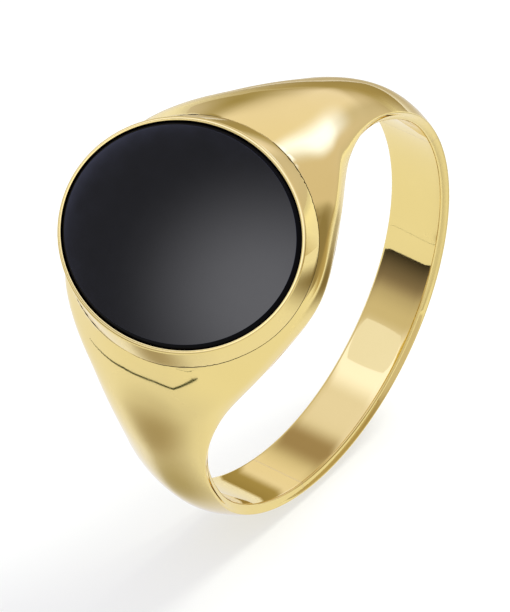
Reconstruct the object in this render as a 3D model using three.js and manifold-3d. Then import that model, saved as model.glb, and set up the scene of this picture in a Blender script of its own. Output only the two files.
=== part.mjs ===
// Oval signet ring: a gold head with two shoulders, a plain back shank soldered between
// them, and a flat black onyx held by a rub-over bezel collar.
//
// Ring axes, before the display tilt: X runs along the finger, Z points from the finger's
// centre to the face of the stone, and Y runs round the finger. The origin is the centre
// of the finger hole. Angles are measured about X, from 0 at the head to 180 at the back;
// positive angles are on the +Y side. All lengths are in millimetres.
import * as THREE from 'three';
import { mergeVertices } from 'three/addons/utils/BufferGeometryUtils.js';
import Module from 'manifold-3d';

const wasm = await Module();
wasm.setup();

// ---- Driving dimensions ----
const DISPLAY_TILT = 43; // degrees that the face leans from straight up towards -Y
const FINGER_RADIUS = 9.4;
const STONE_LENGTH = 12; // along the finger
const STONE_WIDTH = 10; // round the finger
const LIP_HEIGHT = 12.35; // bezel lip above the finger's centre
const TABLE_RISE = 0.12; // stone's table above the lip
const STONE_BEVEL = 0.2;
const STONE_BASE = 10.7; // underside of the stone above the finger's centre
const CEMENT_THICKNESS = 0.1;
const SOLDER_THICKNESS = 0.1;
const COLLAR_LEDGE = 10.85; // ledge in the head that carries the bezel collar
const FOOT_HEIGHT = 11.25; // where the collar's flare ends, just above the shoulders
const HEAD_LEVEL = 12; // flat top of the casting before the seat is cut
const FIT_GAP = 0.03; // clearance between one piece and the next
const TRIM_FLARE = 0.13; // how far the head may spread past the oval for each mm below it
const TRIM_SQUEEZE = 0.01; // share of the trimmed width that is kept, so that none folds up
const EDGE_BREAK = 0.14; // chamfer on the two edges of the finger hole
const UPPER_JOINT = 105; // degrees from the head to the +Y end of the back shank
const LOWER_JOINT = -130; // degrees from the head to the -Y end of the back shank
const SWEEP_STEP = 4; // degrees between sections

// Sections of the band from the head (0) to the back (180). innerHalf and outerHalf are
// half-widths at the finger hole and at the outer edge; edge is the radius where the domed
// outside starts and crown is its highest radius. across and over shape the dome: 2 and 1
// give the low dome of the back, larger values square it up under the head.
const STATIONS = [
  { angle: 0, innerHalf: 6.2, outerHalf: 6.48, edge: 10.05, crown: 14.4, across: 6.5, over: 4 },
  { angle: 20, innerHalf: 5.18, outerHalf: 5.42, edge: 10.25, crown: 13.1, across: 3.7, over: 2.6 },
  { angle: 40, innerHalf: 3.14, outerHalf: 3.48, edge: 10.2, crown: 11.4, across: 2.3, over: 1.9 },
  { angle: 60, innerHalf: 2.12, outerHalf: 2.36, edge: 9.95, crown: 10.62, across: 1.8, over: 1.2 },
  { angle: 80, innerHalf: 1.86, outerHalf: 2.08, edge: 9.84, crown: 10.4, across: 1.8, over: 1 },
  { angle: 105, innerHalf: 1.54, outerHalf: 1.7, edge: 9.82, crown: 10.34, across: 1.8, over: 1 },
  { angle: 180, innerHalf: 1.38, outerHalf: 1.56, edge: 9.76, crown: 10.4, across: 2, over: 1 },
];

// Half-sizes of the bezel collar along the finger (length) and round it (width).
const OPENING = { length: STONE_LENGTH / 2 + FIT_GAP, width: STONE_WIDTH / 2 + FIT_GAP };
const LIP = { length: 6.2, width: 5.22 };
const FOOT = { length: 6.26, width: 5.62 };

// ---- Materials ----
const gold = (name) => new THREE.MeshStandardMaterial({
  name, color: 0xe6c878, metalness: 1, roughness: 0.08,
});
const solder = (name) => new THREE.MeshStandardMaterial({
  name, color: 0xc9ac5e, metalness: 1, roughness: 0.3,
});
const onyx = new THREE.MeshStandardMaterial({
  name: 'onyx', color: 0x0c0c0e, metalness: 0, roughness: 0.04,
});
const cement = new THREE.MeshStandardMaterial({
  name: 'cement', color: 0x2e2a26, metalness: 0, roughness: 0.7,
});

// ---- Band ----
// Value of one station property at an angle: a cubic through the stations, level at the
// head and at the back, so that both sides of the ring match.
function stationValue(key, degrees) {
  const angle = Math.abs(degrees > 180 ? degrees - 360 : degrees);
  const last = STATIONS.length - 1;
  const slopeAt = (i) => {
    if (i === 0 || i === last) return 0;
    const rise = STATIONS[i + 1][key] - STATIONS[i - 1][key];
    return rise / (STATIONS[i + 1].angle - STATIONS[i - 1].angle);
  };
  let i = 0;
  while (i < last - 1 && angle > STATIONS[i + 1].angle) i += 1;
  const span = STATIONS[i + 1].angle - STATIONS[i].angle;
  const t = (angle - STATIONS[i].angle) / span;
  const from = STATIONS[i][key];
  const to = STATIONS[i + 1][key];
  return from * (1 + 2 * t) * (1 - t) ** 2 + to * t * t * (3 - 2 * t)
    + span * slopeAt(i) * t * (1 - t) ** 2 + span * slopeAt(i + 1) * t * t * (t - 1);
}

// Radius of the domed outside at a share (-1 to 1) of the outer half-width. Over the head
// the dome is levelled off.
function domeRadius(share, degrees) {
  const edge = stationValue('edge', degrees);
  let crown = stationValue('crown', degrees);
  const level = HEAD_LEVEL / Math.cos(THREE.MathUtils.degToRad(degrees));
  if (level > 0) crown = Math.min(crown, level);
  const across = stationValue('across', degrees);
  const over = stationValue('over', degrees);
  const fall = Math.max(0, 1 - Math.abs(share) ** across);
  return edge + (crown - edge) * fall ** (1 / over);
}

// The band's section before it is shaped: a half disc for the dome, over two corners on
// each side for the chamfer and the finger hole. All of its points are corners.
const DOME_SEGMENTS = 20;
const CHAMFER_ROW = -0.1;
const HOLE_ROW = -0.2;

function sectionShape() {
  const points = [new THREE.Vector2(-0.8, HOLE_ROW), new THREE.Vector2(0.8, HOLE_ROW)];
  points.push(new THREE.Vector2(0.95, CHAMFER_ROW));
  for (let i = 0; i <= DOME_SEGMENTS; i += 1) {
    const turn = Math.PI * (i / DOME_SEGMENTS);
    points.push(new THREE.Vector2(Math.cos(turn), Math.sin(turn)));
  }
  points.push(new THREE.Vector2(-0.95, CHAMFER_ROW));
  return new THREE.Shape(points);
}

// Draws the head in round the collar's foot, so that its top follows the stone's oval.
function trimmedToOval([x, y, z]) {
  const size = Math.hypot(x / FOOT.length, y / FOOT.width);
  const room = 1 + TRIM_FLARE * Math.max(0, FOOT_HEIGHT - z);
  if (z < FINGER_RADIUS / 2 || size < room) return [x, y, z];
  const share = (room + (size - room) * TRIM_SQUEEZE) / size;
  return [x * share, y * share, z];
}

// Where a point of the section goes at an angle round the finger.
function bandPoint(across, row, degrees) {
  const side = Math.sign(across);
  let x = side * (stationValue('innerHalf', degrees) - EDGE_BREAK);
  let radius = FINGER_RADIUS;
  if (row > -0.01) {
    x = across * stationValue('outerHalf', degrees);
    radius = domeRadius(across, degrees);
  } else if (row > (CHAMFER_ROW + HOLE_ROW) / 2) {
    x = side * stationValue('innerHalf', degrees);
    radius = FINGER_RADIUS + EDGE_BREAK;
  }
  const turn = THREE.MathUtils.degToRad(degrees);
  const point = [x, radius * Math.sin(turn), radius * Math.cos(turn)];
  return row > -0.01 ? trimmedToOval(point) : point;
}

// A stretch of the band between two angles, with a flat end at each.
function bandGeometry(fromDegrees, toDegrees) {
  const steps = Math.max(1, Math.round((toDegrees - fromDegrees) / SWEEP_STEP));
  const geometry = new THREE.ExtrudeGeometry(sectionShape(), {
    depth: 1, steps, bevelEnabled: false,
  });
  const position = geometry.attributes.position;
  for (let i = 0; i < position.count; i += 1) {
    const degrees = THREE.MathUtils.lerp(toDegrees, fromDegrees, position.getZ(i));
    position.setXYZ(i, ...bandPoint(position.getX(i), position.getY(i), degrees));
  }
  return welded(geometry);
}

// ---- Closed meshes and solids ----
function welded(geometry) {
  geometry.deleteAttribute('normal');
  geometry.deleteAttribute('uv');
  return mergeVertices(geometry, 1e-5);
}

function toSolid(geometry) {
  return new wasm.Manifold(new wasm.Mesh({
    numProp: 3,
    vertProperties: new Float32Array(geometry.attributes.position.array),
    triVerts: new Uint32Array(geometry.index.array),
  }));
}

function toGeometry(solid) {
  const mesh = solid.getMesh();
  const geometry = new THREE.BufferGeometry();
  geometry.setAttribute('position', new THREE.BufferAttribute(mesh.vertProperties, 3));
  geometry.setIndex(new THREE.BufferAttribute(mesh.triVerts, 1));
  return geometry;
}

// An upright oval prism, centred on the face's normal.
const OVAL_SEGMENTS = 72;

function ovalPrism(half, bottom, top) {
  const geometry = new THREE.CylinderGeometry(1, 1, top - bottom, OVAL_SEGMENTS);
  geometry.rotateX(Math.PI / 2);
  geometry.scale(half.length, half.width, 1);
  geometry.translate(0, 0, (top + bottom) / 2);
  return welded(geometry);
}

// An oval turned piece: profile rows are [half-length, half-width, height].
function ovalTurned(rows) {
  const outline = rows.map(([, width, height]) => new THREE.Vector2(width, height));
  const geometry = new THREE.LatheGeometry(outline, OVAL_SEGMENTS);
  const position = geometry.attributes.position;
  for (let i = 0; i < position.count; i += 1) {
    const [length, width] = rows[i % rows.length];
    const stretch = width > 0 ? length / width : 1;
    position.setX(i, position.getX(i) * stretch);
  }
  geometry.rotateX(Math.PI / 2);
  return welded(geometry);
}

// ---- Pieces ----
function headGeometry() {
  const halfJoint = jointHalfAngle();
  const band = bandGeometry(LOWER_JOINT + halfJoint, UPPER_JOINT - halfJoint);
  const aboveRing = 2 * LIP_HEIGHT;
  const collarHole = { length: FOOT.length + FIT_GAP, width: FOOT.width + FIT_GAP };
  const floor = STONE_BASE - CEMENT_THICKNESS - 2 * FIT_GAP;
  return toGeometry(
    toSolid(band)
      .subtract(toSolid(ovalPrism(collarHole, COLLAR_LEDGE, aboveRing)))
      .subtract(toSolid(ovalPrism(OPENING, floor, aboveRing))),
  );
}

// Half of the angle that a shank joint takes up: the solder and a gap on each side of it.
function jointHalfAngle() {
  const halfLength = SOLDER_THICKNESS / 2 + FIT_GAP;
  return THREE.MathUtils.radToDeg(halfLength / FINGER_RADIUS);
}

function shankGeometry() {
  const halfJoint = jointHalfAngle();
  return bandGeometry(UPPER_JOINT + halfJoint, 360 + LOWER_JOINT - halfJoint);
}

function shankSolderGeometry(degrees) {
  const halfAngle = THREE.MathUtils.radToDeg(SOLDER_THICKNESS / 2 / FINGER_RADIUS);
  return bandGeometry(degrees - halfAngle, degrees + halfAngle);
}

function collarGeometry() {
  const bottom = COLLAR_LEDGE + SOLDER_THICKNESS + 2 * FIT_GAP;
  const edge = 0.05; // small radius worn on the lip's two edges
  return ovalTurned([
    [OPENING.length, OPENING.width, bottom],
    [FOOT.length, FOOT.width, bottom],
    [FOOT.length, FOOT.width, FOOT_HEIGHT - edge],
    [FOOT.length - 0.01, FOOT.width - edge, FOOT_HEIGHT + edge],
    [LIP.length + 0.02, LIP.width + edge, LIP_HEIGHT - edge],
    [LIP.length - 0.02, LIP.width - edge, LIP_HEIGHT],
    [OPENING.length + edge / 2, OPENING.width + edge / 2, LIP_HEIGHT],
    [OPENING.length, OPENING.width, LIP_HEIGHT - edge],
    [OPENING.length, OPENING.width, bottom],
  ]);
}

function collarSolderGeometry() {
  const bottom = COLLAR_LEDGE + FIT_GAP;
  const top = bottom + SOLDER_THICKNESS;
  return ovalTurned([
    [OPENING.length, OPENING.width, bottom],
    [FOOT.length, FOOT.width, bottom],
    [FOOT.length, FOOT.width, top],
    [OPENING.length, OPENING.width, top],
    [OPENING.length, OPENING.width, bottom],
  ]);
}

function stoneGeometry() {
  const length = STONE_LENGTH / 2;
  const width = STONE_WIDTH / 2;
  const table = LIP_HEIGHT + TABLE_RISE;
  const back = 0.1; // small chamfer round the back of the stone
  return ovalTurned([
    [0, 0, STONE_BASE],
    [length - back, width - back, STONE_BASE],
    [length, width, STONE_BASE + back],
    [length, width, table - STONE_BEVEL],
    [length - STONE_BEVEL, width - STONE_BEVEL, table],
    [0, 0, table],
  ]);
}

function cementGeometry() {
  const inset = 0.2;
  const half = { length: STONE_LENGTH / 2 - inset, width: STONE_WIDTH / 2 - inset };
  const top = STONE_BASE - FIT_GAP;
  return ovalPrism(half, top - CEMENT_THICKNESS, top);
}

// ---- Assembly ----
const ring = new THREE.Group();
ring.rotation.x = THREE.MathUtils.degToRad(DISPLAY_TILT);

function addPiece(name, geometry, material) {
  const mesh = new THREE.Mesh(geometry, material);
  mesh.name = name;
  ring.add(mesh);
}

addPiece('head_and_shoulders', headGeometry(), gold('head gold'));
addPiece('back_shank', shankGeometry(), gold('shank gold'));
addPiece('shank_solder_upper', shankSolderGeometry(UPPER_JOINT), solder('upper solder'));
addPiece('shank_solder_lower', shankSolderGeometry(360 + LOWER_JOINT), solder('lower solder'));
addPiece('bezel_collar', collarGeometry(), gold('bezel gold'));
addPiece('bezel_solder', collarSolderGeometry(), solder('bezel solder'));
addPiece('onyx_stone', stoneGeometry(), onyx);
addPiece('stone_cement', cementGeometry(), cement);

const part = new THREE.Group();
part.add(ring);

export default part;
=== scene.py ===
"""Looks for the signet ring: smooth polished gold round a flat black onyx.

Ring axes: X along the finger, Z from the finger's centre to the stone's face, Y round the
finger. Lengths are millimetres until a mesh is made, and angles are degrees about X, from 0
at the head to 180 at the back.
"""
import math

import bmesh
import bpy
import numpy as np
from mathutils import Matrix, Vector


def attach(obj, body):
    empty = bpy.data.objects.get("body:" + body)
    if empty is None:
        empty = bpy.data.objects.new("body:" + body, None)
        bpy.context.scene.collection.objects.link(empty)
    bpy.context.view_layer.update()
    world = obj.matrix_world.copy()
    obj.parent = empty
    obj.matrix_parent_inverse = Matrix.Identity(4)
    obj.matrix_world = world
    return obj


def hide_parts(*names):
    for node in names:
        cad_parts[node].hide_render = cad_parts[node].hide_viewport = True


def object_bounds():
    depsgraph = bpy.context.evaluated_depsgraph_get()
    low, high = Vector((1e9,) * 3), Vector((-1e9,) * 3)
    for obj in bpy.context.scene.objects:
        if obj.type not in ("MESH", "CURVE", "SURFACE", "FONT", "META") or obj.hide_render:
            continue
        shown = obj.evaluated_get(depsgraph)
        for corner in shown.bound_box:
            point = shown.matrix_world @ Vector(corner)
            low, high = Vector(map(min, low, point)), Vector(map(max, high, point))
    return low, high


MM = 0.001
UP = Vector((0, 0, 1))

# ---- Sizes, as in the CAD ----
DISPLAY_TILT = 43
FINGER_RADIUS = 9.4
STONE_LENGTH = 12
STONE_WIDTH = 10
LIP_HEIGHT = 12.35
TABLE_RISE = 0.12
STONE_BEVEL = 0.2
GIRDLE_BREAK = 0.1
STONE_BASE = 10.7
CEMENT_THICKNESS = 0.1
SOLDER_THICKNESS = 0.1
COLLAR_LEDGE = 10.85
FOOT_HEIGHT = 11.25
HEAD_LEVEL = 12
FIT_GAP = 0.03
EDGE_BREAK = 0.14
UPPER_JOINT = 105
LOWER_JOINT = -130
LIP = (6.2, 5.22)  # half-length and half-width at the lip
FOOT = (6.26, 5.62)  # and at the foot of the collar
OPENING = (STONE_LENGTH / 2 + FIT_GAP, STONE_WIDTH / 2 + FIT_GAP)

# Sections of the band: angle, then half-width at the hole and at the outer edge, radius of
# the outer edge and of the crown, and the two powers that shape the dome.
STATIONS = np.array([
    (0, 6.2, 6.48, 10.05, 14.4, 6.5, 4),
    (20, 5.18, 5.42, 10.25, 13.1, 3.7, 2.6),
    (40, 3.14, 3.48, 10.2, 11.4, 2.3, 1.9),
    (60, 2.12, 2.36, 9.95, 10.62, 1.8, 1.2),
    (80, 1.86, 2.08, 9.84, 10.4, 1.8, 1),
    (105, 1.54, 1.7, 9.82, 10.34, 1.8, 1),
    (180, 1.38, 1.56, 9.76, 10.4, 2, 1),
])

# ---- Fineness and finish ----
HEAD_STEP = 0.75  # degrees between sections
SHANK_STEP = 1.25
DOME_POINTS = 96
DOME_SAMPLES = 600  # points on the exact dome, before they are spaced evenly
BORE_POINTS = 8
CORNER_POINTS = 6
EDGE_ROUND = 0.07  # roundness of the band's two outer edges
LEVEL_BLEND = 0.12  # how softly the dome runs into the level top of the head
SEAM_GAP = 0.0015  # hairline left at each side of a solder joint
SEAT_GAP = 0.012  # hairline between the collar's foot and the head
TRIM_FLARE = 0.13  # how fast the head may spread past the collar's oval below its foot, per mm
TRIM_BLEND = 0.05  # how softly that limit starts
COLLAR_ROUNDS = (0, 0, 0.1, 0.09, 0.04)  # at the collar's five corners, from its inner foot
STONE_FIT = 0.022  # the stone shown closes most of the clearance in its setting
OVAL_POINTS = 256
STONE_CROWN = 0.03  # the polished table stands this much higher in its middle
TABLE_RINGS = (0.996, 0.99, *np.linspace(0.97, 0, 24)[:-1])  # from the bevel to the middle
STONE_ROUNDS = (0.03, 0.02)  # at the foot and the top of its bevel
STONE_CORNER_POINTS = 4
BEVEL_TILT = 1  # degrees; the stone's faces that lean further are its bevel and sides
SHARP_ANGLE = 32  # degrees; flatter edges are shaded smooth

RING_TURN = Matrix.Rotation(math.radians(DISPLAY_TILT), 4, "X")


# ---- Band ----
def station_values(degrees):
    """The six section values at an angle: a cubic through the stations, level at both ends."""
    angle = abs(degrees - 360 if degrees > 180 else degrees)
    angles, values = STATIONS[:, 0], STATIONS[:, 1:]
    slopes = np.zeros_like(values)
    slopes[1:-1] = (values[2:] - values[:-2]) / (angles[2:] - angles[:-2])[:, None]
    i = min(int(np.searchsorted(angles, angle, side="left")), len(angles) - 1)
    i = max(i - 1, 0)
    span = angles[i + 1] - angles[i]
    t = (angle - angles[i]) / span
    return (
        values[i] * (1 + 2 * t) * (1 - t) ** 2
        + values[i + 1] * t * t * (3 - 2 * t)
        + span * slopes[i] * t * (1 - t) ** 2
        + span * slopes[i + 1] * t * t * (t - 1)
    )


def soft_min(a, b, blend):
    """The lower of two heights, with the change from one to the other rounded off."""
    near = max(blend - abs(a - b), 0) / blend
    return min(a, b) - near * near * blend / 4


def evenly_spaced(points, count):
    """The same line through that many points, evenly spaced along it."""
    steps = np.hypot(*np.diff(points, axis=0).T)
    along = np.concatenate([[0], np.cumsum(steps)])
    wanted = np.linspace(0, along[-1], count)
    return np.stack([np.interp(wanted, along, points[:, k]) for k in (0, 1)], 1)


def rounded_corner(start, corner, end, count=CORNER_POINTS):
    """Points on a smooth turn from start to end that leans towards the corner."""
    t = np.linspace(0, 1, count)[:, None]
    return (1 - t) ** 2 * start + 2 * t * (1 - t) * corner + t * t * end


def half_section(degrees):
    """One side of the band's section as (across, radius), from the hole to the crown."""
    inner, outer, edge, crown, across, over = station_values(degrees)
    level = HEAD_LEVEL / math.cos(math.radians(degrees))
    if level > 0:
        crown = soft_min(crown, level, LEVEL_BLEND)
    turn = np.linspace(0, math.pi / 2, DOME_SAMPLES) ** 2 / (math.pi / 2)
    share = np.cos(turn) ** (2 / across)
    rise = np.sin(turn) ** (2 / over)
    dome = np.stack([outer * share, edge + (crown - edge) * rise], 1)
    dome[-1] = (0, crown)
    side_foot = np.array([inner, FINGER_RADIUS + EDGE_BREAK])
    side_top = np.array([outer, edge])
    run = (side_top - side_foot) / np.linalg.norm(side_top - side_foot)
    reach = np.hypot(*(dome - side_top).T)
    past_edge = dome[reach > EDGE_ROUND]
    return np.concatenate([
        rounded_corner(
            np.array([inner - EDGE_BREAK, FINGER_RADIUS]),
            np.array([inner, FINGER_RADIUS]),
            side_foot,
        ),
        [(side_foot + side_top) / 2],
        rounded_corner(side_top - run * EDGE_ROUND, side_top, past_edge[0]),
        evenly_spaced(past_edge, DOME_POINTS // 2)[1:],
    ])


def trimmed_to_oval(points):
    """Draws the head in round the collar's foot, so that its top follows the oval.

    Points lower than half the finger hole's radius belong to the shoulders and stay.
    """
    x, y, z = points.T
    size = np.hypot(x / FOOT[0], y / FOOT[1])
    room = 1 + TRIM_FLARE * np.maximum(FOOT_HEIGHT - z, 0)
    near = np.maximum(TRIM_BLEND - np.abs(size - room), 0) / TRIM_BLEND
    kept = np.minimum(size, room) - near * near * TRIM_BLEND / 4
    share = np.where(z > FINGER_RADIUS / 2, kept / np.maximum(size, 0.1), 1)
    return np.stack([x * share, y * share, z], 1)


def section_ring(degrees):
    """The whole section at an angle, as points in ring axes."""
    right = half_section(degrees)
    left = right[-2::-1] * (-1, 1)
    bore = np.linspace(left[-1], right[0], BORE_POINTS + 2)[1:-1]
    flat = np.concatenate([right, left, bore])
    turn = math.radians(degrees)
    across, radius = flat.T
    points = np.stack([across, radius * math.sin(turn), radius * math.cos(turn)], 1)
    outside = radius > FINGER_RADIUS + EDGE_BREAK
    points[outside] = trimmed_to_oval(points[outside])
    return points


def band_mesh(name, start, end, step):
    """A stretch of the band between two angles, flat at each end."""
    count = max(2, round((end - start) / step) + 1)
    rows = np.array([section_ring(a) for a in np.linspace(end, start, count)])
    around = rows.shape[1]
    faces = [tuple(range(around))[::-1]]
    for i in range(count - 1):
        a, b = i * around, (i + 1) * around
        for j in range(around):
            k = (j + 1) % around
            faces.append((a + j, a + k, b + k, b + j))
    faces.append(tuple(range((count - 1) * around, count * around)))
    return finished_mesh(name, rows.reshape(-1, 3), faces)


def finished_mesh(name, points, faces):
    """A mesh in metres in the row frame, from points in ring axes, faces outwards."""
    mesh = bpy.data.meshes.new(name)
    mesh.from_pydata([tuple(p) for p in np.asarray(points) * MM], [], faces)
    mesh.transform(RING_TURN)
    bm = bmesh.new()
    bm.from_mesh(mesh)
    bmesh.ops.recalc_face_normals(bm, faces=bm.faces)
    bm.to_mesh(mesh)
    bm.free()
    return mesh


def smooth_shaded(mesh):
    """Shades the mesh smooth, apart from its sharp edges."""
    bm = bmesh.new()
    bm.from_mesh(mesh)
    limit = math.radians(SHARP_ANGLE)
    for face in bm.faces:
        face.smooth = True
    for edge in bm.edges:
        edge.smooth = len(edge.link_faces) == 2 and edge.calc_face_angle(0) < limit
    bm.to_mesh(mesh)
    bm.free()


# ---- Oval pieces ----
def oval_mesh(name, rows):
    """An oval turned piece. Rows are half-length, half-width and height, round its profile.

    A row with no size is the middle of a top or a base. A profile that starts without one
    closes on itself, as a ring's does.
    """
    turn = np.linspace(0, 2 * math.pi, OVAL_POINTS, endpoint=False)
    points, faces, first = [], [], []
    for length, width, height in rows:
        first.append(len(points))
        if length == 0:
            points.append((0, 0, height))
            continue
        points += [(length * math.cos(t), width * math.sin(t), height) for t in turn]
    last = len(rows) if rows[0][0] > 0 else len(rows) - 1
    for i in range(last):
        j = (i + 1) % len(rows)
        for k in range(OVAL_POINTS):
            m = (k + 1) % OVAL_POINTS
            a = (first[i] + k, first[i] + m) if rows[i][0] else (first[i],)
            b = (first[j] + m, first[j] + k) if rows[j][0] else (first[j],)
            faces.append(a + b)
    return finished_mesh(name, points, faces)


def turned_corner(before, corner, after, radius, count=CORNER_POINTS):
    """Rows that round a profile's corner, reaching that far along both of its sides."""
    before, corner, after = (np.array(p, float) for p in (before, corner, after))
    start = corner + (before - corner) * radius / np.linalg.norm(before - corner)
    end = corner + (after - corner) * radius / np.linalg.norm(after - corner)
    return [tuple(p) for p in rounded_corner(start, corner, end, count)]


def rounded_profile(corners, radii):
    """The closed profile through these corners, each rounded by its radius."""
    rows = []
    for i, corner in enumerate(corners):
        after = corners[(i + 1) % len(corners)]
        if radii[i] > 0:
            rows += turned_corner(corners[i - 1], corner, after, radii[i])
        else:
            rows.append(corner)
    return rows


def collar_mesh():
    bottom = COLLAR_LEDGE + SOLDER_THICKNESS + 2 * FIT_GAP
    corners = [
        (*OPENING, bottom),
        (*FOOT, bottom),
        (*FOOT, FOOT_HEIGHT),
        (*LIP, LIP_HEIGHT),
        (*OPENING, LIP_HEIGHT),
    ]
    return oval_mesh("bezel_collar_polished", rounded_profile(corners, COLLAR_ROUNDS))


def stone_mesh():
    length, width = STONE_LENGTH / 2 + STONE_FIT, STONE_WIDTH / 2 + STONE_FIT
    table = LIP_HEIGHT + TABLE_RISE
    base = (length - GIRDLE_BREAK, width - GIRDLE_BREAK, STONE_BASE)
    girdle = (length, width, STONE_BASE + GIRDLE_BREAK)
    bevel_foot = (length, width, table - STONE_BEVEL - STONE_CROWN)
    bevel_top = (length - STONE_BEVEL, width - STONE_BEVEL, table - STONE_CROWN)
    domed = []
    for share in TABLE_RINGS:
        rise = STONE_CROWN * (1 - share * share)
        domed.append((bevel_top[0] * share, bevel_top[1] * share, bevel_top[2] + rise))
    foot_round, top_round = STONE_ROUNDS
    return oval_mesh("onyx_stone_polished", [
        (0, 0, STONE_BASE),
        base,
        girdle,
        *turned_corner(girdle, bevel_foot, bevel_top, foot_round, STONE_CORNER_POINTS),
        *turned_corner(bevel_foot, bevel_top, domed[0], top_round, STONE_CORNER_POINTS),
        *domed,
        (0, 0, table),
    ])


# ---- Pieces ----
def new_object(name, data):
    made = bpy.data.objects.new(name, data)
    bpy.context.scene.collection.objects.link(made)
    return made


def half_joint(gap):
    """Half of the angle that a solder joint takes up, with a gap of that size beside it."""
    return math.degrees((SOLDER_THICKNESS / 2 + gap) / FINGER_RADIUS)


def add_piece(mesh, nodes):
    smooth_shaded(mesh)
    piece = new_object(mesh.name, mesh)
    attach(piece, "root")
    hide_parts(*nodes)
    return piece


def cut_out(mesh, *cutters):
    """The mesh with each cutter's mesh taken away."""
    body = new_object("cut_body", mesh)
    helpers = [body]
    for cutter in cutters:
        tool = new_object("cut_tool", cutter)
        helpers.append(tool)
        modifier = body.modifiers.new("seat", "BOOLEAN")
        modifier.operation = "DIFFERENCE"
        modifier.solver = "MANIFOLD"
        modifier.object = tool
    depsgraph = bpy.context.evaluated_depsgraph_get()
    result = bpy.data.meshes.new_from_object(body.evaluated_get(depsgraph))
    for helper in helpers:
        bpy.data.objects.remove(helper)
    return result


def oval_prism(name, half, bottom, top):
    """A straight oval block, from its half-length and half-width."""
    return oval_mesh(name, [(0, 0, bottom), (*half, bottom), (*half, top), (0, 0, top)])


def head_mesh():
    reach = half_joint(SEAM_GAP)
    band = band_mesh("head_band", LOWER_JOINT + reach, UPPER_JOINT - reach, HEAD_STEP)
    above = 2 * LIP_HEIGHT
    hole = (FOOT[0] + SEAT_GAP, FOOT[1] + SEAT_GAP)
    floor = STONE_BASE - CEMENT_THICKNESS - 2 * FIT_GAP
    mesh = cut_out(
        band,
        oval_prism("collar_seat", hole, COLLAR_LEDGE, above),
        oval_prism("stone_seat", OPENING, floor, above),
    )
    mesh.name = "head_and_shoulders_polished"
    return mesh


def solder_mesh(name, degrees):
    half = half_joint(0)
    return band_mesh(name, degrees - half, degrees + half, half)


def shank_mesh():
    reach = half_joint(SEAM_GAP)
    return band_mesh(
        "back_shank_polished", UPPER_JOINT + reach, 360 + LOWER_JOINT - reach, SHANK_STEP
    )


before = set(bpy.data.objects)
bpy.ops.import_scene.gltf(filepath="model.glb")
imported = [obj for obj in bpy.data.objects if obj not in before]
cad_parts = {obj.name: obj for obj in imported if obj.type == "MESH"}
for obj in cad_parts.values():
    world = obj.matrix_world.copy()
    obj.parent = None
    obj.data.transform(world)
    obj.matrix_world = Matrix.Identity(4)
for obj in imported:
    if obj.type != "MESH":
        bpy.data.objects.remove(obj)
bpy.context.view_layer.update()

head = add_piece(head_mesh(), ["head_and_shoulders"])
shank = add_piece(shank_mesh(), ["back_shank"])
upper = add_piece(
    solder_mesh("shank_solder_upper_polished", UPPER_JOINT), ["shank_solder_upper"]
)
lower = add_piece(
    solder_mesh("shank_solder_lower_polished", 360 + LOWER_JOINT), ["shank_solder_lower"]
)
collar = add_piece(collar_mesh(), ["bezel_collar"])
stone = add_piece(stone_mesh(), ["onyx_stone"])


# ---- Materials ----
GOLD = ((0.82, 0.65, 0.238), (0.84, 0.67, 0.252))
SOLDER = ((0.78, 0.62, 0.26), (0.81, 0.64, 0.27))
SCRATCH_DEPTH = 0.002
ONYX_IOR = 1.54


def new_material(name):
    material = bpy.data.materials.new(name)
    material.use_nodes = True
    return material, material.node_tree.nodes, material.node_tree.links


def dress(piece, material):
    piece.data.materials.clear()
    piece.data.materials.append(material)


def noise(nodes, links, scale, detail, stretch=(1, 1, 1)):
    """A noise node in the object's own space, in cells per metre, stretched along axes."""
    place = nodes.new("ShaderNodeTexCoord")
    mapping = nodes.new("ShaderNodeMapping")
    mapping.inputs["Scale"].default_value = stretch
    texture = nodes.new("ShaderNodeTexNoise")
    texture.inputs["Scale"].default_value = scale
    texture.inputs["Detail"].default_value = detail
    links.new(place.outputs["Object"], mapping.inputs["Vector"])
    links.new(mapping.outputs["Vector"], texture.inputs["Vector"])
    return texture


def ranged(nodes, links, source, low, high):
    """A node that turns a 0 to 1 value into one between low and high."""
    node = nodes.new("ShaderNodeMapRange")
    node.inputs["To Min"].default_value = low
    node.inputs["To Max"].default_value = high
    links.new(source.outputs["Fac"], node.inputs["Value"])
    return node


def tinted(nodes, links, source, first, second):
    """A colour that drifts between two, as source goes from 0.3 to 0.7."""
    ramp = nodes.new("ShaderNodeValToRGB")
    ramp.color_ramp.elements[0].position = 0.3
    ramp.color_ramp.elements[0].color = (*first, 1)
    ramp.color_ramp.elements[1].position = 0.7
    ramp.color_ramp.elements[1].color = (*second, 1)
    links.new(source.outputs["Fac"], ramp.inputs["Fac"])
    return ramp


def metal(name, first, second, smoothest, roughest, scratch):
    """Polished metal: its colour drifts a little, with wipe marks and fine scratches."""
    material, nodes, links = new_material(name)
    shader = nodes["Principled BSDF"]
    shader.inputs["Metallic"].default_value = 1
    drift = noise(nodes, links, scale=260, detail=3)
    colour = tinted(nodes, links, drift, first, second)
    links.new(colour.outputs["Color"], shader.inputs["Base Color"])
    wiped = noise(nodes, links, scale=900, detail=4, stretch=(1, 0.25, 0.25))
    rough = ranged(nodes, links, wiped, smoothest, roughest)
    links.new(rough.outputs["Result"], shader.inputs["Roughness"])
    fine = noise(nodes, links, scale=5200, detail=2, stretch=(1, 0.08, 0.08))
    bump = nodes.new("ShaderNodeBump")
    bump.inputs["Strength"].default_value = scratch
    bump.inputs["Distance"].default_value = SCRATCH_DEPTH * MM
    links.new(fine.outputs["Fac"], bump.inputs["Height"])
    links.new(bump.outputs["Normal"], shader.inputs["Normal"])
    return material


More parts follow.
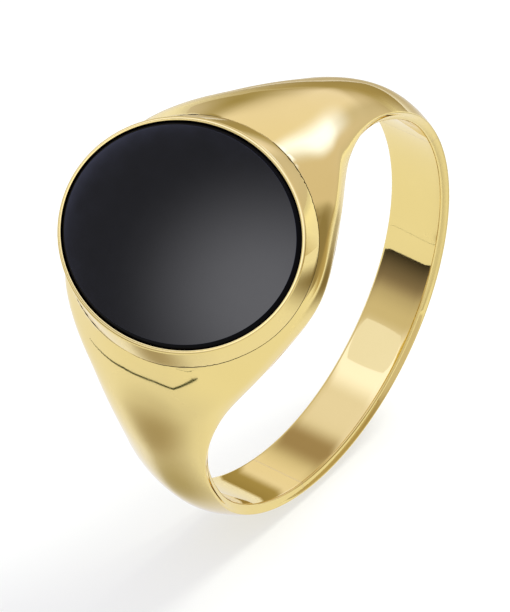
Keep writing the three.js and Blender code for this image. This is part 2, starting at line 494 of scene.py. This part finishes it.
def onyx_material():
    """Polished black onyx: almost black, with the faintest cloudy banding."""
    material, nodes, links = new_material("black_onyx")
    shader = nodes["Principled BSDF"]
    cloud = noise(nodes, links, scale=380, detail=4, stretch=(1, 0.3, 0.3))
    colour = tinted(nodes, links, cloud, (0.0008, 0.0008, 0.001), (0.002, 0.002, 0.0025))
    links.new(colour.outputs["Color"], shader.inputs["Base Color"])
    wiped = noise(nodes, links, scale=1400, detail=2)
    polish = ranged(nodes, links, wiped, low=0.03, high=0.06)
    links.new(polish.outputs["Result"], shader.inputs["Roughness"])
    shader.inputs["IOR"].default_value = ONYX_IOR
    return material


def onyx_bevel_shade_material():
    """The stone's bevel, darker than its table and almost without shine: painted shade, as if
    it lay in the lip's shadow.
    """
    material, nodes, links = new_material("onyx_bevel_painted_shade")
    shader = nodes["Principled BSDF"]
    cloud = noise(nodes, links, scale=3000, detail=3)
    colour = tinted(nodes, links, cloud, (0.0004, 0.0004, 0.0006), (0.001, 0.001, 0.0014))
    links.new(colour.outputs["Color"], shader.inputs["Base Color"])
    rough = ranged(nodes, links, cloud, low=0.25, high=0.4)
    links.new(rough.outputs["Result"], shader.inputs["Roughness"])
    shader.inputs["Specular IOR Level"].default_value = 0.06
    return material


def cement_material():
    """Dark setting cement: matte and grainy."""
    material, nodes, links = new_material("setting_cement")
    shader = nodes["Principled BSDF"]
    grain = noise(nodes, links, scale=5000, detail=5)
    colour = tinted(nodes, links, grain, (0.03, 0.027, 0.024), (0.07, 0.063, 0.055))
    links.new(colour.outputs["Color"], shader.inputs["Base Color"])
    rough = ranged(nodes, links, grain, low=0.6, high=0.9)
    links.new(rough.outputs["Result"], shader.inputs["Roughness"])
    return material


gold = metal("yellow_gold", *GOLD, smoothest=0.02, roughest=0.06, scratch=0.25)
solder = metal("gold_solder", *SOLDER, smoothest=0.06, roughest=0.14, scratch=0.4)
for piece in (head, shank, collar):
    dress(piece, gold)
for piece in (upper, lower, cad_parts["bezel_solder"]):
    dress(piece, solder)
dress(stone, onyx_material())
# The stone's bevel and sides take a second material that paints shade on them.
stone.data.materials.append(onyx_bevel_shade_material())
table_normal = RING_TURN.to_3x3() @ UP
for face in stone.data.polygons:
    if face.normal.dot(table_normal) < math.cos(math.radians(BEVEL_TILT)):
        face.material_index = 1
dress(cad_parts["stone_cement"], cement_material())


# ---- Camera ----
VIEW_AZIMUTH = 36.51
VIEW_ELEVATION = 38.95
VIEW_ROLL = 0.27
VIEW_DISTANCE = 0.45  # metres
AIM = Vector((-0.00126, -0.0012, -0.00026))
LENS = 706.1

# ---- Stage ----
FLOOR_SIZE = 3  # metres
FLOOR_COLOUR = (0.31, 0.32, 0.28)
FLOOR_GLOW = 0.62  # the white sheet is lit from below as well

# Soft light all round the ring, as panels laid over one another on the sky: azimuth, half
# width and softness; elevation, half height and softness, in degrees; and the light's colour.
# Azimuth 0 is towards -Y and 90 towards +X.
SKY = (0.74, 0.7, 0.74)
PANELS = [
    (0, 181, 1, 90, 34, 9, (0.98, 0.98, 1.35)),  # overhead
    (-40, 26, 12, 52, 15, 9, (1.3, 1.4, 2.3)),  # front left, high
    (-28, 26, 9, 2, 14, 11, (0.34, 0.3, 0.32)),  # dim room under it
    (-134, 12, 9, 50, 9, 7, (0.42, 0.34, 0.3)),  # dark patch, back left
    (-154, 12, 4, 6, 30, 10, (1.0, 0.96, 1.1)),  # back left
    (-173, 11, 5, 25, 10, 7, (1.5, 1.8, 3.6)),  # bright box behind
    (-143, 5, 5, 2, 10, 6, (0.42, 0.36, 0.2)),  # dark edge beside it
    (164, 20, 6, 28, 22, 8, (0.82, 0.76, 0.85)),  # back right
    (120, 22, 9, 14, 26, 10, (0.33, 0.28, 0.2)),  # dark right
]

# Everything from here to the key light shows only in the ring's polish.

# Upright cards round the ring: azimuth, distance, width and height in millimetres, and how
# bright they are at the bottom and at the top.
CARDS = [
    (-28, 100, 90, 40, (0.035, 0.03, 0.03), (0.4, 0.34, 0.36)),
    (-155, 75, 84, 28, (0.38, 0.3, 0.13), (0.5, 0.42, 0.24)),
    (122, 60, 70, 34, (0.62, 0.52, 0.36), (0.4, 0.33, 0.22)),
]
# Where a card thins out: the axis of its box, and the shares at which it is clear and full.
CARD_FADES = [("X", 0, 0.4), ("X", 1, 0.6), ("Z", 1, 0.55)]

# Soft round patches of painted light and shade lying on the floor: place and radius in
# millimetres, how far one is stretched and turned, how much of the floor it hides in its
# middle, and its light.
PAINTED_FLOOR_PATCHES = [
    (0, 0, 400, 1, 0, 0.4, (0.84, 0.86, 1.12)),  # the whole sheet, a little cooler: a painted reflection of the floor
    (-4.2, -14.2, 6, 1.2, 0, 0.85, (0.4, 0.34, 0.26)),  # painted shade under the collar
    (-1.6, -9.4, 4.5, 1.1, 0, 1, (0.5, 0.46, 0.36)),  # painted shade under the lower shoulder
    (22, 22, 20, 1.5, -60, 1, (0.25, 0.2, 0.12)),  # behind, to the right
    (-25, 44, 38, 1, 0, 0.85, (0.5, 0.4, 0.19)),  # behind, to the left
]
PAINTED_PATCH_SPACING = 0.02  # each painted patch lies this much above the one before, in millimetres

# A dark line on the floor in front of the ring that shows only in the ring's polish, a painted
# reflection; its points are in millimetres.
REFLECTED_DARK_LINE = [(-17, -13.4), (-10, -18), (-5.9, -19.9), (-2.6, -21), (2, -24.6), (3.2, -25.3)]
REFLECTED_LINE_WIDTH = 0.26
REFLECTED_LINE_TIP_WIDTH = REFLECTED_LINE_WIDTH / 4
REFLECTED_LINE_HEIGHT = 0.14
REFLECTED_LINE_LIGHT = (0.03, 0.045, 0.01)

# A round soft box that the flat stone mirrors, in millimetres. Its middle and its brightest
# point are given in ring axes, and moved out by its distance along the mirrored line of sight.
STONE_BOX_MIDDLE = Vector((0, 0, 12.4))
STONE_BOX_BRIGHTEST = Vector((11.1, -2.0, 12.4))
STONE_BOX_DISTANCE = 250
STONE_BOX_RADIUS = 15.5
STONE_BOX_FADE = 20  # from the brightest point to where only the edge's light is left
STONE_BOX_LIGHT = (2.5, 2.5, 2.65)
STONE_BOX_EDGE = (0.3, 0.3, 0.34)

# A small bright screen beside the head that keeps the finger hole from mirroring that box.
BOX_SCREEN = Vector((-9.3, -5.4, 7.0))
BOX_SCREEN_RADIUS = 3
BOX_SCREEN_LIGHT = (1.05, 1.1, 1.6)

# The key light, behind and to the right, which throws the soft shadow to the front. Its
# distance and size are in metres.
KEY_AZIMUTH = 170
KEY_ELEVATION = 60
KEY_DISTANCE = 0.5
KEY_SIZE = 0.2
KEY_WATTS = 2.3


def compass(azimuth):
    """The level direction at an azimuth."""
    turn = math.radians(azimuth)
    return Vector((math.sin(turn), -math.cos(turn), 0))


def direction(azimuth, elevation):
    up = math.radians(elevation)
    return compass(azimuth) * math.cos(up) + UP * math.sin(up)


def on_stage(name, corners, faces):
    mesh = bpy.data.meshes.new(name)
    mesh.from_pydata(corners, [], faces)
    prop = new_object(name, mesh)
    return prop


def disc(name, radius):
    angles = np.linspace(0, 2 * math.pi, 48, endpoint=False)
    corners = [(radius * math.cos(a), radius * math.sin(a), 0) for a in angles]
    return on_stage(name, corners, [tuple(range(len(corners)))])


def only_in_reflections(prop):
    prop.visible_camera = False
    prop.visible_diffuse = False
    prop.visible_shadow = False
    prop.visible_transmission = False


def light_material(name, colour=(0, 0, 0)):
    """A material that glows and does nothing else, and its light node."""
    material, nodes, links = new_material(name)
    nodes.remove(nodes["Principled BSDF"])
    light = nodes.new("ShaderNodeEmission")
    light.inputs["Color"].default_value = (*colour, 1)
    links.new(light.outputs["Emission"], nodes["Material Output"].inputs["Surface"])
    return material, nodes, links, light


def two_colours(nodes, links, share, first, second):
    ramp = nodes.new("ShaderNodeValToRGB")
    ramp.color_ramp.elements[0].color = (*first, 1)
    ramp.color_ramp.elements[1].color = (*second, 1)
    links.new(share, ramp.inputs["Fac"])
    return ramp.outputs["Color"]


def partly_shown(nodes, links, share):
    """Lets what the material shows so far through by that share, and is clear otherwise."""
    surface = nodes["Material Output"].inputs["Surface"]
    shown = surface.links[0].from_socket
    clear = nodes.new("ShaderNodeBsdfTransparent")
    mix = nodes.new("ShaderNodeMixShader")
    links.new(share, mix.inputs["Fac"])
    links.new(clear.outputs["BSDF"], mix.inputs[1])
    links.new(shown, mix.inputs[2])
    links.new(mix.outputs["Shader"], surface)


def radial(nodes, links, centre, reach):
    """0 at a centre in the object's own coordinates, rising to 1 at the reach."""
    place = nodes.new("ShaderNodeTexCoord")
    length = nodes.new("ShaderNodeVectorMath")
    length.operation = "DISTANCE"
    length.inputs[1].default_value = centre
    share = nodes.new("ShaderNodeMapRange")
    share.interpolation_type = "SMOOTHERSTEP"
    share.inputs["From Max"].default_value = reach
    links.new(place.outputs["Object"], length.inputs[0])
    links.new(length.outputs["Value"], share.inputs["Value"])
    return share.outputs["Result"]


def add_floor(height):
    half = FLOOR_SIZE / 2
    corners = [(-half, -half), (half, -half), (half, half), (-half, half)]
    floor = on_stage("floor", [(x, y, height) for x, y in corners], [(0, 1, 2, 3)])
    material, nodes, _ = new_material("pale_floor")
    shader = nodes["Principled BSDF"]
    shader.inputs["Base Color"].default_value = (*FLOOR_COLOUR, 1)
    shader.inputs["Roughness"].default_value = 1
    shader.inputs["Specular IOR Level"].default_value = 0
    shader.inputs["Emission Color"].default_value = (1, 1, 1, 1)
    shader.inputs["Emission Strength"].default_value = FLOOR_GLOW
    dress(floor, material)


def card_material(name, bottom, top):
    """One colour at a card's foot and another at its top, thinning out as CARD_FADES says."""
    material, nodes, links, light = light_material(name)
    place = nodes.new("ShaderNodeTexCoord")
    split = nodes.new("ShaderNodeSeparateXYZ")
    links.new(place.outputs["Generated"], split.inputs["Vector"])
    colour = two_colours(nodes, links, split.outputs["Z"], bottom, top)
    links.new(colour, light.inputs["Color"])
    for output, clear_at, full_at in CARD_FADES:
        fade = nodes.new("ShaderNodeMapRange")
        fade.interpolation_type = "SMOOTHSTEP"
        fade.inputs["From Min"].default_value = clear_at
        fade.inputs["From Max"].default_value = full_at
        links.new(split.outputs[output], fade.inputs["Value"])
        partly_shown(nodes, links, fade.outputs["Result"])
    return material


def add_card(number, ground, azimuth, distance, width, height, bottom, top):
    centre = compass(azimuth) * distance * MM
    side = compass(azimuth + 90) * width / 2 * MM
    feet = [centre - side, centre + side]
    corners = [(p.x, p.y, ground) for p in feet]
    corners += [(p.x, p.y, ground + height * MM) for p in reversed(feet)]
    card = on_stage(f"card_{number}", corners, [(0, 1, 2, 3)])
    only_in_reflections(card)
    dress(card, card_material(f"card_light_{number}", bottom, top))


# A soft disc of painted light and shade on the floor, seen only in the ring's polish.
def add_painted_patch(number, ground, x, y, radius, stretch, turn, share, colour):
    painted_patch = disc(f"painted_patch_{number}", radius * MM)
    painted_patch.matrix_world = Matrix.LocRotScale(
        Vector((x * MM, y * MM, ground + PAINTED_PATCH_SPACING * (number + 1) * MM)),
        Matrix.Rotation(math.radians(turn), 3, "Z").to_quaternion(),
        Vector((stretch, 1, 1)),
    )
    only_in_reflections(painted_patch)
    material, nodes, links, _ = light_material(f"painted_patch_light_{number}", colour)
    fade = nodes.new("ShaderNodeMapRange")
    fade.inputs["To Min"].default_value = share
    fade.inputs["To Max"].default_value = 0
    links.new(radial(nodes, links, (0, 0, 0), radius * MM), fade.inputs["Value"])
    partly_shown(nodes, links, fade.outputs["Result"])
    dress(painted_patch, material)


# Lays the painted dark line, a painted reflection, flat on the floor.
def add_reflected_dark_line(ground):
    points = [Vector(p) for p in REFLECTED_DARK_LINE]
    last = len(points) - 1
    height = ground + REFLECTED_LINE_HEIGHT * MM
    corners, faces = [], []
    for i, point in enumerate(points):
        along = points[min(i + 1, last)] - points[max(i - 1, 0)]
        width = REFLECTED_LINE_WIDTH if 0 < i < last else REFLECTED_LINE_TIP_WIDTH
        across = Vector((-along.y, along.x)).normalized() * width / 2
        corners += [((p * MM).x, (p * MM).y, height) for p in (point - across, point + across)]
        if i:
            faces.append((2 * i - 2, 2 * i, 2 * i + 1, 2 * i - 1))
    reflected_line = on_stage("reflected_line", corners, faces)
    only_in_reflections(reflected_line)
    dress(reflected_line, light_material("reflected_line_dark", REFLECTED_LINE_LIGHT)[0])


def add_stone_box():
    turn = RING_TURN.to_3x3()
    normal = turn @ UP
    toward = direction(VIEW_AZIMUTH, VIEW_ELEVATION)
    mirrored = 2 * toward.dot(normal) * normal - toward
    away = mirrored * STONE_BOX_DISTANCE * MM
    middle = turn @ (STONE_BOX_MIDDLE * MM) + away
    box = disc("stone_box", STONE_BOX_RADIUS * MM)
    box.matrix_world = Matrix.LocRotScale(middle, mirrored.to_track_quat("Z", "Y"), None)
    only_in_reflections(box)
    brightest = box.matrix_world.inverted() @ (turn @ (STONE_BOX_BRIGHTEST * MM) + away)
    brightest.z = 0
    material, nodes, links, light = light_material("stone_box_light")
    share = radial(nodes, links, brightest, STONE_BOX_FADE * MM)
    colour = two_colours(nodes, links, share, STONE_BOX_LIGHT, STONE_BOX_EDGE)
    links.new(colour, light.inputs["Color"])
    dress(box, material)


def add_box_screen():
    screen = disc("box_screen", BOX_SCREEN_RADIUS * MM)
    facing = BOX_SCREEN.to_track_quat("Z", "Y")
    screen.matrix_world = Matrix.LocRotScale(BOX_SCREEN * MM, facing, None)
    only_in_reflections(screen)
    dress(screen, light_material("box_screen_light", BOX_SCREEN_LIGHT)[0])


def add_key():
    toward = direction(KEY_AZIMUTH, KEY_ELEVATION)
    data = bpy.data.lights.new("key", "AREA")
    data.shape = "DISK"
    data.size = KEY_SIZE
    data.energy = KEY_WATTS
    key = new_object("key", data)
    key.location = toward * KEY_DISTANCE
    key.rotation_euler = toward.to_track_quat("Z", "Y").to_euler()
    key.visible_glossy = False


def add_sky():
    world = bpy.data.worlds.new("studio")
    world.use_nodes = True
    bpy.context.scene.world = world
    nodes, links = world.node_tree.nodes, world.node_tree.links
    sight = nodes.new("ShaderNodeTexCoord").outputs["Generated"]
    split = nodes.new("ShaderNodeSeparateXYZ")
    links.new(sight, split.inputs["Vector"])

    def math_node(operation, *values):
        node = nodes.new("ShaderNodeMath")
        node.operation = operation
        for socket, value in zip(node.inputs, values):
            if isinstance(value, (int, float)):
                socket.default_value = value
            else:
                links.new(value, socket)
        return node.outputs[0]

    def part_along(vector):
        node = nodes.new("ShaderNodeVectorMath")
        node.operation = "DOT_PRODUCT"
        links.new(sight, node.inputs[0])
        node.inputs[1].default_value = vector
        return node.outputs["Value"]

    def inside(offset, half, soft):
        """1 within half of the middle, falling to 0 over a band that is twice soft wide."""
        node = nodes.new("ShaderNodeMapRange")
        node.interpolation_type = "SMOOTHSTEP"
        node.inputs["From Min"].default_value = math.radians(half - soft)
        node.inputs["From Max"].default_value = math.radians(half + soft)
        node.inputs["To Min"].default_value = 1
        node.inputs["To Max"].default_value = 0
        links.new(math_node("ABSOLUTE", offset), node.inputs["Value"])
        return node.outputs["Result"]

    def laid_over(below, light, mask):
        mix = nodes.new("ShaderNodeMix")
        mix.data_type = "RGBA"
        links.new(mask, mix.inputs["Factor"])
        first, second = mix.inputs[6], mix.inputs[7]
        if below is None:
            first.default_value = (*SKY, 1)
        else:
            links.new(below, first)
        second.default_value = (*light, 1)
        return mix.outputs[2]

    elevation = math_node("ARCSINE", split.outputs["Z"])
    colour = None
    for azimuth, half, soft, middle, half_high, soft_high, light in PANELS:
        sideways = part_along(compass(azimuth + 90))
        turned = math_node("ARCTAN2", sideways, part_along(compass(azimuth)))
        raised = math_node("SUBTRACT", elevation, math.radians(middle))
        width_mask = inside(turned, half, soft)
        height_mask = inside(raised, half_high, soft_high)
        colour = laid_over(colour, light, math_node("MULTIPLY", width_mask, height_mask))
    links.new(colour, nodes["Background"].inputs["Color"])


def add_camera():
    back = direction(VIEW_AZIMUTH, VIEW_ELEVATION)
    data = bpy.data.cameras.new("camera")
    data.sensor_fit = "HORIZONTAL"
    data.sensor_width = 36
    data.lens = LENS
    data.clip_start = 0.01
    data.clip_end = 20
    camera = new_object("camera", data)
    camera.location = AIM + back * VIEW_DISTANCE
    turn = (-back).to_track_quat("-Z", "Y").to_matrix()
    roll = Matrix.Rotation(math.radians(VIEW_ROLL), 3, "Z")
    camera.rotation_euler = (turn @ roll).to_euler()
    bpy.context.scene.camera = camera


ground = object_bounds()[0].z
add_floor(ground)
for number, card in enumerate(CARDS):
    add_card(number, ground, *card)
# Patches of painted light and shade on the floor, seen only in the ring's polish.
for number, painted_patch in enumerate(PAINTED_FLOOR_PATCHES):
    add_painted_patch(number, ground, *painted_patch)
# The painted dark line that the ring's polish mirrors.
add_reflected_dark_line(ground)
add_stone_box()
add_box_screen()
add_key()
add_sky()
add_camera()
bpy.context.scene.view_settings.view_transform = "Standard"
